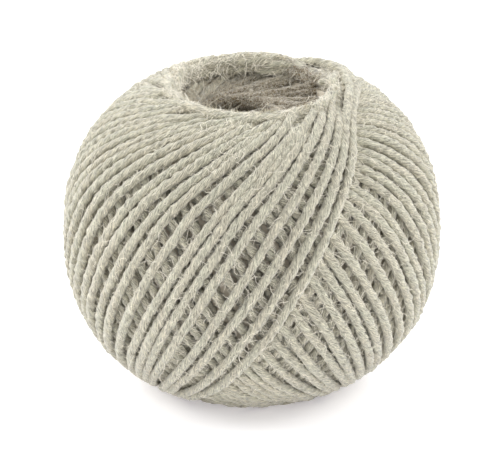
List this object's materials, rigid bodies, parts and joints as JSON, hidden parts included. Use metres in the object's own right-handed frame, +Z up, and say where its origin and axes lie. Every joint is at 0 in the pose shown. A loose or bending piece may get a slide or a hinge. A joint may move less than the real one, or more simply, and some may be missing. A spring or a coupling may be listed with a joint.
{
  "type": "ball of string",
  "caption": "Ball of soft twine, machine-wound on a slant round a hole that runs right through it, so that it stands on its flattened lower end.",
  "frame": {"origin": "middle of the flat underneath, on the surface that the ball stands on", "axes": "+Z up along the hole, -Y towards the viewer, +X to the viewer's right"},
  "size_m": [0.0794, 0.0806, 0.0678],
  "materials": {
    "twine": "matte, hairy plied jute in a pale greige"
  },
  "bodies": {
    "root": {"ball": "twine"}
  },
  "joints": []
}
